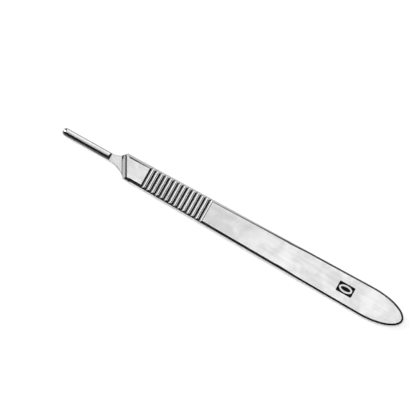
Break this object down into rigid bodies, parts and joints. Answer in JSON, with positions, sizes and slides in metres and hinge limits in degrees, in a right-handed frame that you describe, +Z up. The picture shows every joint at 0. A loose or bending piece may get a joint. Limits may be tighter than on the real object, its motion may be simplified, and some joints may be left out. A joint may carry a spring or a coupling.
{
  "type": "scalpel handle",
  "caption": "Flat one-piece steel scalpel handle with a ribbed grip, bevelled edges, a thin rounded butt and a grooved key that takes a detachable blade.",
  "frame": {"origin": "under the middle of the handle's box, on the surface that its flat back lies on", "axes": "+X along the handle to the rounded butt, so the tang points to -X; +Y to the side of the blade's back; +Z up, out of the front, where the key stands"},
  "size_m": [0.125, 0.0104, 0.0034],
  "materials": {
    "satin_steel": "satin ground stainless steel with a fine lengthwise grain"
  },
  "bodies": {
    "root": {"scalpel_handle": "satin_steel"}
  },
  "joints": []
}
